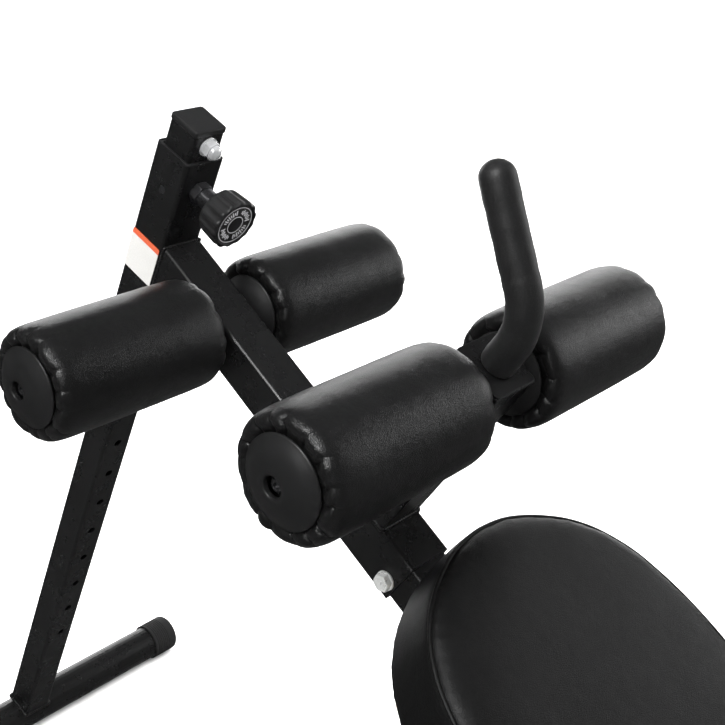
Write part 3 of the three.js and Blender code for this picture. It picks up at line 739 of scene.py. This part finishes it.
# the seam draws the cover in again: a groove along the welt line, with puckers above and below it
out, nrm = pad_outline(0, 3.0)
inv = M_BENCH.inverted()
R, t = np.array(inv.to_3x3()), np.array(inv.to_translation())
Rw, tw = np.array(M_BENCH.to_3x3()), np.array(M_BENCH.to_translation())
co = np.array([v.co for v in cushion.data.vertices], float)
lc = (co @ R.T + t) * 1000
sub = cushion.modifiers.new("subdivision", "SUBSURF")
sub.levels = sub.render_levels = 1
bpy.context.view_layer.objects.active = cushion
bpy.ops.object.modifier_apply(modifier=sub.name)
co = np.array([v.co for v in cushion.data.vertices], float)
lc = (co @ R.T + t) * 1000
from mathutils.kdtree import KDTree
kd = KDTree(len(out))
for i, p in enumerate(out):
    kd.insert((p[0], p[1], 0), i)
kd.balance()
n = len(out)
p1, p2 = value_noise(n, 120, 71), value_noise(n, 260, 72)
near = np.array([kd.find((x, y, 0))[1] for x, y in lc[:, :2]])
foot_pt = out[near]
nn = nrm[near]
inside = np.sum((foot_pt - lc[:, :2]) * nn, axis=1)  # distance inward from the outline
rim = np.clip(1 - np.maximum(inside, 0) / 34, 0, 1)
dz = lc[:, 2] - 101.4
groove = np.exp(-((dz / 2.6) ** 2)) * 0.7
puck = np.exp(-((dz / 10.0) ** 2)) * (0.4 * p1[near] + 0.3 * p2[near])
move = (-groove + puck) * (rim > 0.45)
lc[:, 0] += nn[:, 0] * move
lc[:, 1] += nn[:, 1] * move
# soft unevenness of the cover
u, v = lc[:, 0], lc[:, 1]
lc[:, 2] += (lc[:, 2] > 104) * (0.5 * np.sin(u / 61 + 1.1) * np.sin(v / 47) + 0.3 * np.sin(u / 27) * np.sin(v / 31 + 0.8))
lc[:, 2] = np.minimum(lc[:, 2], 118.0)
out_len = np.maximum(-inside - 3.0, 0)
lc[:, 0] -= nn[:, 0] * out_len
lc[:, 1] -= nn[:, 1] * out_len
co = (lc / 1000) @ Rw.T + tw
cushion.data.vertices.foreach_set("co", co.astype(np.float32).ravel())
cushion.data.update()
cushion.data.materials.clear()
cushion.data.materials.append(PADL)
for p in cushion.data.polygons:
    p.use_smooth = True
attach(cushion, "frame")
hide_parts("pad_cushion")


def cord_loop(name, path3, r, mat, body, n=10):
    """Closed round cord along a loop of world points (metres); r in metres."""
    P = np.asarray(path3)
    T = np.roll(P, -1, 0) - np.roll(P, 1, 0)
    T /= np.linalg.norm(T, axis=1, keepdims=True)
    upv = np.array(M_BENCH.to_3x3() @ Vector((0, 0, 1)))
    A = np.cross(T, upv)
    A /= np.linalg.norm(A, axis=1, keepdims=True)
    B = np.cross(A, T)
    th = np.linspace(0, 2 * math.pi, n, endpoint=False)
    pts = (P[:, None, :] + r * (np.cos(th)[None, :, None] * A[:, None, :] + np.sin(th)[None, :, None] * B[:, None, :])).reshape(-1, 3)
    m = len(P)
    faces = []
    for j in range(m):
        k = (j + 1) % m
        for i in range(n):
            q = (i + 1) % n
            faces.append((j * n + i, j * n + q, k * n + q, k * n + i))
    return finish_mesh(name, pts, faces, mat, body, True)


wp, wn = pad_outline(4.3, 4.0)
wv = value_noise(len(wp), 80, 91)
welt = cord_loop("board_welt", to_world(M_BENCH, np.column_stack([wp + wn * 0.2 * wv[:, None], 101.4 + 0.25 * value_noise(len(wp), 60, 92)])), 0.0022, PADL, "frame")


# ---- welds ------------------------------------------------------------------------------------------
def weld(name, corners, M, body, r=1.7, pitch=3.0, closed=True, rad=4.5):
    """Rippled fillet bead along a polygon (mm, in frame M)."""
    C = [np.array(c, float) for c in corners]
    path = []
    m = len(C)
    for i in range(m if closed else m - 1):
        a, b = C[i], C[(i + 1) % m]
        L = np.linalg.norm(b - a)
        k = max(2, int(L / 0.85))
        for j in range(k):
            path.append(a + (b - a) * j / k)
    if not closed:
        path.append(C[-1])
    P = np.array(path)
    for _ in range(4):  # ease the corners
        Q = (np.roll(P, 1, 0) + 2 * P + np.roll(P, -1, 0)) / 4
        if not closed:
            Q[0], Q[-1] = P[0], P[-1]
        P = Q
    T = np.roll(P, -1, 0) - np.roll(P, 1, 0)
    if not closed:
        T[0], T[-1] = P[1] - P[0], P[-1] - P[-2]
    T /= np.linalg.norm(T, axis=1, keepdims=True)
    ref = np.array([0.13, 0.21, 0.97])
    A = np.cross(T, ref)
    A /= np.linalg.norm(A, axis=1, keepdims=True)
    B = np.cross(T, A)
    s = np.concatenate([[0], np.cumsum(np.linalg.norm(np.diff(P, axis=0), axis=1))])
    gg = np.random.default_rng(len(name) * 13 + 5)
    rr = r * (1 + 0.16 * np.abs(np.sin(math.pi * s / pitch)) - 0.08 + 0.05 * gg.standard_normal(len(s)).clip(-1, 1))
    n = 12
    th = np.linspace(0, 2 * math.pi, n, endpoint=False)
    pts = (P[:, None, :] + rr[:, None, None] * (np.cos(th)[None, :, None] * A[:, None, :] + np.sin(th)[None, :, None] * B[:, None, :])).reshape(-1, 3)
    faces = []
    mm = len(P)
    for j in range(mm if closed else mm - 1):
        k = (j + 1) % mm
        for i in range(n):
            q = (i + 1) % n
            faces.append((j * n + i, j * n + q, k * n + q, k * n + i))
    if not closed:
        faces += [tuple(range(n)), tuple(range((mm - 1) * n, mm * n))]
    return finish_mesh(name, to_world(M, pts), faces, WELD, body, True)


WELD = make_paint("weld_paint", 0.0004, 0.0036)
h = 25.0
th_ = BENCH - POSTA
# front beam to sleeve: the joint lies in the sleeve's face, so it is drawn in the post frame
s0 = -25 / math.cos(th_)


def bench_to_post(u, w):
    p = M_POST.inverted() @ (M_BENCH @ Vector((u / 1000, 0, w / 1000)))
    return p.x * 1000, p.z * 1000


def sleeve_hit(w):
    """The beam's edge line at height w runs along u: where it reaches n = 25 in the post frame."""
    n0, s0 = bench_to_post(60, w)
    n1, s1 = bench_to_post(160, w)
    k = (25.2 - n0) / (n1 - n0)
    return s0 + (s1 - s0) * k


st_, sb_ = sleeve_hit(25), sleeve_hit(-25)
weld("weld_beam_sleeve", [(25.6, -24.6, st_), (25.6, 24.6, st_), (25.6, 24.6, sb_), (25.6, -24.6, sb_)], M_POST, "frame")
weld("weld_riser_socket", [(447 - 28.6, -27.5, 28.9), (447 + 28.6, -27.5, 28.9), (447 + 28.6, 27.5, 28.9), (447 - 28.6, 27.5, 28.9)], M_BENCH, "frame", 2.4)
weld("weld_socket_front", [(404.6, -25, 25), (404.6, 25, 25), (404.6, 25, -25), (404.6, -25, -25)], M_BENCH, "frame", 1.7)
weld("weld_top_plate", [(447 - 28.2, -28.2, 240.35), (447 + 28.2, -28.2, 240.35), (447 + 28.2, 28.2, 240.35), (447 - 28.2, 28.2, 240.35)], M_BENCH, "frame", 0.9, 2.4)
weld("weld_bracket_front_left", [(622, -25.2, 25.2), (658, -25.2, 25.2)], M_BENCH, "frame", 2.0, closed=False)
weld("weld_bracket_front_right", [(622, 25.2, 25.2), (658, 25.2, 25.2)], M_BENCH, "frame", 2.0, closed=False)
weld("weld_bracket_rear_left", [(1212, -25.2, 25.2), (1248, -25.2, 25.2)], M_BENCH, "frame", 2.0, closed=False)
weld("weld_bracket_rear_right", [(1212, 25.2, 25.2), (1248, 25.2, 25.2)], M_BENCH, "frame", 2.0, closed=False)
weld("weld_rear_leg", [(1265, -25, -25.3), (1315, -25, -25.3), (1315, 25, -25.3), (1265, 25, -25.3)], M_BENCH, "frame", 2.5)


def saddle_path(half, r, M_axis_z, k=40):
    """Loop where a square tube of half width `half` meets a round tube of radius r lying across it."""
    pts = []
    for i in range(k):
        y = -half + 2 * half * i / k
        pts.append((half, y, M_axis_z + math.sqrt(max(0, r * r - half * half)) if half < r else M_axis_z))
    for i in range(k):
        x = half - 2 * half * i / k
        pts.append((x, half, M_axis_z + math.sqrt(max(0, r * r - x * x))))
    for i in range(k):
        y = half - 2 * half * i / k
        pts.append((-half, y, M_axis_z + (math.sqrt(max(0, r * r - half * half)) if half < r else 0)))
    for i in range(k):
        x = -half + 2 * half * i / k
        pts.append((x, -half, M_axis_z + math.sqrt(max(0, r * r - x * x))))
    return pts


weld("weld_rear_base", [(1290 + x, y, z) for x, y, z in saddle_path(24.9, 25.6, -95.06)], M_BENCH, "frame", 2.4)
weld("weld_front_base", [(x, y, -877.9 + 25.2) for x, y in [(20, -20), (20, 20), (-20, 20), (-20, -20)]], M_POST, "post", 2.4)

# ---- pull pin, its knob and barrel --------------------------------------------------------------------
revolve(
    "pin_barrel_thread",
    [(6.3, 25.0), (10.0, 25.0)] + [(10.0 + (0.75 if k % 2 else 0.0), 36 + k * 0.62) for k in range(26)] + [(9.8, 53.0), (6.3, 53.0)],
    M_PIN, BLACKM, "frame", 72, 30, closed=True,
)


def hexagon(name, M, z0, z1, af, bore, mat, body, chamfer=1.0, n=6, dome=None):
    """Chamfered hexagon about local Z."""
    seg = 96
    th = np.linspace(0, 2 * math.pi, seg, endpoint=False)
    hexr = (af / 2) / np.cos((th + math.pi / 6) % (math.pi / 3) - math.pi / 6)
    rows = []
    lvl = [(z0, af / 2 * 1.0, 0.0), (z0 + 0.35 * chamfer, 0, 0.55), (z0 + chamfer, 0, 1.0), (z1 - chamfer, 0, 1.0), (z1 - 0.35 * chamfer, 0, 0.55), (z1, 0, 0.0)]
    for z, _, k in lvl:
        lim = af / 2 * (1.0 + 0.155 * k)
        r = np.minimum(hexr, lim)
        rows.append(np.stack([r * np.cos(th), r * np.sin(th), np.full(seg, z)], 1))
    if bore:
        rows.append(np.stack([bore * np.cos(th), bore * np.sin(th), np.full(seg, z1)], 1))
        rows.append(np.stack([bore * np.cos(th), bore * np.sin(th), np.full(seg, z0)], 1))
        pts = np.concatenate(rows)
        faces = grid_faces(seg, len(rows)) + [((len(rows) - 1) * seg + j, (len(rows) - 1) * seg + (j + 1) % seg, (j + 1) % seg, j) for j in range(seg)]
    else:
        pts = np.concatenate(rows)
        faces = grid_faces(seg, len(rows)) + [tuple(range(seg)), tuple(range((len(rows) - 1) * seg, len(rows) * seg))]
    return finish_mesh(name, to_world(M, pts), faces, mat, body, True, 28)


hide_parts("pin_barrel")
hexagon("pin_weld_nut", M_PIN, 25.2, 35.4, 22, 10.2, BLACKM, "frame", 1.1)
plunger = revolve(
    "pin_plunger_rod",
    [(0, 20.6), (4.2, 20.6), (4.8, 21.4), (4.9, 28.2), (8.3, 28.3), (8.3, 31.1), (5.6, 31.2), (5.6, 81.8), (0, 81.8)],
    M_PIN, STEEL, "pull_pin", 48, 30,
)
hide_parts("pin_plunger")


def knob_mesh():
    """Fluted moulded knob with a dished face that holds a plain pressed ring."""
    seg = 480
    th = np.linspace(0, 2 * math.pi, seg, endpoint=False)
    lob = np.cos(14 * th)
    prof = [  # r, z, flute weight
        (6.2, 54.8, 0), (10.6, 54.8, 0), (12.4, 55.0, 0), (17.0, 55.2, 0), (21.0, 55.7, 0.05), (23.2, 56.7, 0.25), (24.5, 58.3, 0.55),
        (25.2, 60.6, 0.8), (25.6, 64.0, 0.95), (26.0, 69.0, 1), (26.4, 73.5, 1), (26.8, 78.0, 1), (27.1, 81.6, 1), (27.2, 83.4, 0.95), (26.7, 84.9, 0.8),
        (25.6, 85.8, 0.5), (24.2, 86.1, 0.2), (23.3, 85.8, 0.05), (22.8, 85.2, 0), (22.6, 84.6, 0), (12, 84.5, 0), (0.5, 84.5, 0),
    ]
    rows = []
    for r, z, w in prof:
        fl = 0.95 * w * np.sign(lob) * np.abs(lob) ** 0.75
        rr = r + fl
        rows.append(np.stack([rr * np.cos(th), rr * np.sin(th), np.full(seg, z)], 1))
    pts = np.concatenate(rows)
    faces = grid_faces(seg, len(rows)) + [tuple(range(seg)), tuple(range((len(rows) - 1) * seg, len(rows) * seg))]
    return finish_mesh("pin_knob_moulding", to_world(M_PIN, pts), faces, CAPP, "knob", True, 50)


knob = knob_mesh()
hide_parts("pin_knob")
PRINT = make_plastic("knob_print", 0.26, (0.4, 0.55), 2200, 0.00004, 0, 0.4)
# face print: two fine rings with plain graduation marks between them
revolve("pin_knob_ring_outer", [(20.7, 84.45), (21.4, 84.45), (21.4, 84.85), (20.7, 84.85)], M_PIN, PRINT, "knob", 120, 30, closed=True)
revolve("pin_knob_ring_inner", [(9.4, 84.45), (10.0, 84.45), (10.0, 84.85), (9.4, 84.85)], M_PIN, PRINT, "knob", 96, 30, closed=True)
mv, mf = [], []
for k in range(40):
    if k % 10 in (0, 9):
        continue
    a = 2 * math.pi * k / 40
    r0, r1, hw = (12.6, 18.4, 0.62) if k % 2 else (13.8, 17.2, 0.55)
    ca, sa = math.cos(a), math.sin(a)
    b0 = len(mv)
    for z in (84.45, 84.85):
        for r, w in ((r0, -hw), (r0, hw), (r1, hw), (r1, -hw)):
            mv.append((r * ca - w * sa, r * sa + w * ca, z))
    mf += [tuple(b0 + i for i in f) for f in ((0, 1, 2, 3), (4, 7, 6, 5), (0, 4, 5, 1), (1, 5, 6, 2), (2, 6, 7, 3), (3, 7, 4, 0))]
finish_mesh("pin_knob_marks", to_world(M_PIN, mv), mf, PRINT, "knob", False)

# ---- stop bolt, joint bolt and nut ----------------------------------------------------------------------
M_STOP = M_POST @ Matrix.Translation((0, 0, 139.5 / 1000)) @ Matrix.Rotation(math.pi / 2, 4, "Y")
stop = hexagon("stop_bolt_hex", M_STOP @ Matrix.Rotation(0.3, 4, "Z"), 22.4, 30.8, 17.6, 0, CHROME, "post", 1.3)
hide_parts("stop_bolt")
revolve("stop_bolt_dome", [(0, 15), (4.8, 15), (4.8, 20.3), (10.4, 20.3), (10.8, 20.7), (10.8, 22.0), (10.4, 22.4), (7.9, 22.6), (7.9, 31.4), (7.7, 33.0), (7.0, 34.7), (5.8, 36.0), (4.0, 36.9), (1.9, 37.4), (0, 37.5)],
        M_STOP, CHROME, "post", 64, 35)
M_JB = M_BENCH @ Matrix.Translation((0.511, 0, -0.009)) @ Matrix.Rotation(math.pi / 2, 4, "X")  # local Z to -Y
jb = hexagon("joint_bolt_head", M_JB @ Matrix.Rotation(0.2, 4, "Z"), 30.6, 37.2, 16.6, 0, ZINC, "frame", 1.0)
revolve("joint_bolt_washer", [(0, 28.7), (10.2, 28.7), (10.4, 29.0), (10.4, 30.3), (10.1, 30.6), (0, 30.6)], M_JB, ZINC, "frame", 64, 30)
revolve("joint_bolt_shank", [(0, -39.6), (3.9, -39.6), (4.9, -38.6)] + [(4.95 if k % 2 else 4.5, -38.2 + k * 0.55) for k in range(18)] + [(4.95, -28), (4.95, 29), (0, 29)], M_JB, ZINC, "frame", 40, 30)
revolve("joint_bolt_mark", [(0, 36.9), (5.6, 36.9), (5.9, 37.25), (5.2, 37.5), (4.6, 37.3), (0, 37.3)], M_JB, ZINC, "frame", 48, 30)
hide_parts("joint_bolt")
jn = hexagon("joint_nut_hex", M_JB, -38.0, -30.7, 16.6, 5.1, ZINC, "frame", 1.0)
revolve("joint_nut_washer", [(5.1, -30.6), (10.2, -30.6), (10.4, -30.3), (10.4, -29.0), (10.1, -28.7), (5.1, -28.7)], M_JB, ZINC, "frame", 64, 30, closed=True)
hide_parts("joint_nut")

# ---- post cap: moulded plug with a crowned top -------------------------------------------------------------
def rounded_square(half, r, n=10):
    pts = []
    for cx, cy, a0 in [(1, 1, 0), (-1, 1, 90), (-1, -1, 180), (1, -1, 270)]:
        for i in range(n + 1):
            a = math.radians(a0 + 90 * i / n)
            pts.append((cx * (half - r) + r * math.cos(a), cy * (half - r) + r * math.sin(a)))
    return np.array(pts)


def square_loft(name, levels, M, mat, body, angle=40):
    """levels: (half width, corner radius, z)."""
    rows = []
    for hw, r, z in levels:
        q = rounded_square(hw, r)
        rows.append(np.column_stack([q, np.full(len(q), z)]))
    n = len(rows[0])
    pts = np.concatenate(rows)
    faces = grid_faces(n, len(rows)) + [tuple(range(n)), tuple(range((len(rows) - 1) * n, len(rows) * n))]
    return finish_mesh(name, to_world(M, pts), faces, mat, body, True, angle)


cap = square_loft("post_cap_moulding", [(17.4, 3, 144.8), (17.4, 3, 152.2), (20.2, 3.2, 152.25), (20.5, 3.3, 152.7), (20.5, 3.3, 156.6), (20.3, 3.2, 157.6),
                                        (19.8, 3.0, 158.3), (19.0, 2.8, 158.6), (17.0, 2.4, 158.7), (8, 2, 158.8), (1, 0.5, 158.8)], M_POST, CAPP, "post")
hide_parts("post_top_cap")
M_RB = M_BENCH @ Matrix.Rotation(math.pi / 2, 4, "Y")
rcap = square_loft("rear_beam_plug", [(21.8, 3, 1310), (21.8, 3, 1322.1), (24.8, 4.5, 1322.2), (24.9, 4.5, 1323), (24.8, 4.4, 1324.6), (23.8, 4.2, 1325.6), (21, 3.5, 1326.0), (2, 0.5, 1326.3)], M_RB, CAPP, "frame")
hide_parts("rear_beam_cap")


# ---- rubber feet: ribbed sockets with a flat sole ------------------------------------------------------------
def foot(node_name, side, half, body, cx):
    y0 = half + 0.3 - 30
    M = Matrix.Translation((cx / 1000, 0, 0.0265)) @ Matrix.Rotation(-side * math.pi / 2, 4, "X")
    prof = [(25.3, y0), (26.8, y0), (27.6, y0 + 0.7)]
    for k in range(7):
        z = y0 + 4 + k * 3.4
        prof += [(27.6, z), (26.9, z + 0.5), (26.9, z + 1.3), (27.6, z + 1.8)]
    prof += [(27.6, y0 + 37.5), (27.2, y0 + 39.6), (26.0, y0 + 41.2), (23.8, y0 + 41.9), (14, y0 + 42.3), (0.2, y0 + 42.4),
             (0.2, half + 0.35), (25.3, half + 0.35)]
    n = 96
    th = np.linspace(0, 2 * math.pi, n, endpoint=False)
    rows = []
    for r, z in prof:
        rows.append(np.stack([r * np.cos(th), r * np.sin(th), np.full(n, z)], 1))
    pts = to_world(M, np.concatenate(rows))
    pts[:, 2] = np.maximum(pts[:, 2], 0.0)
    nv = len(prof)
    faces = grid_faces(n, nv) + [((nv - 1) * n + j, (nv - 1) * n + (j + 1) % n, (j + 1) % n, j) for j in range(n)]
    o = finish_mesh(node_name + "_moulding", pts, faces, RUBBER, body, True, 35)
    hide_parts(node_name)


front_x = (M_POST @ Vector((0, 0, -0.8779))).x * 1000
rear_x = (M_BENCH @ Vector((1.290, 0, -0.09506))).x * 1000
foot("front_foot_left", -1, 255, "post", front_x)
foot("front_foot_right", 1, 255, "post", front_x)
foot("rear_foot_left", -1, 235, "frame", rear_x)
foot("rear_foot_right", 1, 235, "frame", rear_x)

# ---- floor, backdrop and lights ---------------------------------------------------------------------------------
def floor():
    m, nt, b = material("studio_floor")
    tc = nt.nodes.new("ShaderNodeTexCoord").outputs["Object"]
    col = ramp(nt, noise_tex(nt, tc, 1.2, 3), [(0.3, (0.88, 0.88, 0.88)), (0.7, (0.91, 0.91, 0.91))])
    nt.links.new(col, b.inputs["Base Color"])
    b.inputs["Roughness"].default_value = 0.95
    b.inputs["Specular IOR Level"].default_value = 0.0
    me = bpy.data.meshes.new("floor")
    # a round cove: flat floor rising into a plain wall on every side
    prof = [(0.02, 0), (1.2, 0), (3.4, 0)]
    for i in range(1, 13):
        a = math.pi / 2 * i / 12
        prof.append((3.4 + 2.0 * math.sin(a), 2.0 - 2.0 * math.cos(a)))
    prof.append((5.4, 8.0))
    n = 96
    vs, fs = [], []
    for r, z in prof:
        for k in range(n):
            t = 2 * math.pi * k / n
            vs.append((r * math.cos(t), r * math.sin(t), z - 0.0006))
    fs.append(tuple(range(n)))
    for q in range(len(prof) - 1):
        for k in range(n):
            fs.append((q * n + k, q * n + (k + 1) % n, (q + 1) * n + (k + 1) % n, (q + 1) * n + k))
    me.from_pydata(vs, [], fs)
    me.materials.append(m)
    for p in me.polygons:
        p.use_smooth = True
    o = bpy.data.objects.new("floor", me)
    scene.collection.objects.link(o)
    o.visible_glossy = False


floor()


def area(name, loc, target, size, power, color=(1, 1, 1), size_y=None, glossy=True):
    l = bpy.data.lights.new(name, "AREA")
    l.energy = power
    l.color = color
    l.size = size
    if size_y:
        l.shape = "RECTANGLE"
        l.size_y = size_y
    o = bpy.data.objects.new(name, l)
    scene.collection.objects.link(o)
    o.location = loc
    o.rotation_euler = (Vector(target) - Vector(loc)).to_track_quat("-Z", "Y").to_euler()
    o.visible_glossy = glossy
    return o


aim = Vector((-0.05, 0, 0.75))
f2 = Vector((fwd.x, fwd.y, 0)).normalized()
s2 = Vector((right.x, right.y, 0)).normalized()
up3 = Vector((0, 0, 1))
# wide overhead panel: even light on the floor and backdrop
area("overhead", aim + up3 * 3.6 + f2 * 0.3, aim + f2 * 0.3, 6.0, 390, glossy=False)
area("backdrop_wash", aim + up3 * 3.0 + f2 * 1.0, aim + f2 * 4.2 + up3 * 0.6, 5.0, 210, glossy=False)
# soft boxes that draw the highlights: behind and above, low behind, left key, right edge
area("rim_top", aim + f2 * 2.5 + up3 * 0.45, aim, 3.6, 27, size_y=0.32)
area("rim_low", aim + f2 * 2.3 - up3 * 0.5, aim, 3.4, 24, size_y=0.4)
area("key_left", cam_loc + up3 * 0.25 - s2 * 0.35, aim, 0.42, 3.5)
area("glint", aim + Vector((0.19, -0.66, 0.73)) * 2.3, aim, 0.34, 30)
area("edge_right", aim + s2 * 2.2 + up3 * 0.5 + f2 * 0.9, aim, 0.9, 9)
world = bpy.data.worlds.new("studio")
scene.world = world
world.use_nodes = True
bg = world.node_tree.nodes["Background"]
bg.inputs["Color"].default_value = (1, 1, 1, 1)
bg.inputs["Strength"].default_value = 0.09
scene.view_settings.view_transform = "Standard"
scene.view_settings.look = "None"
scene.view_settings.exposure = 0.0
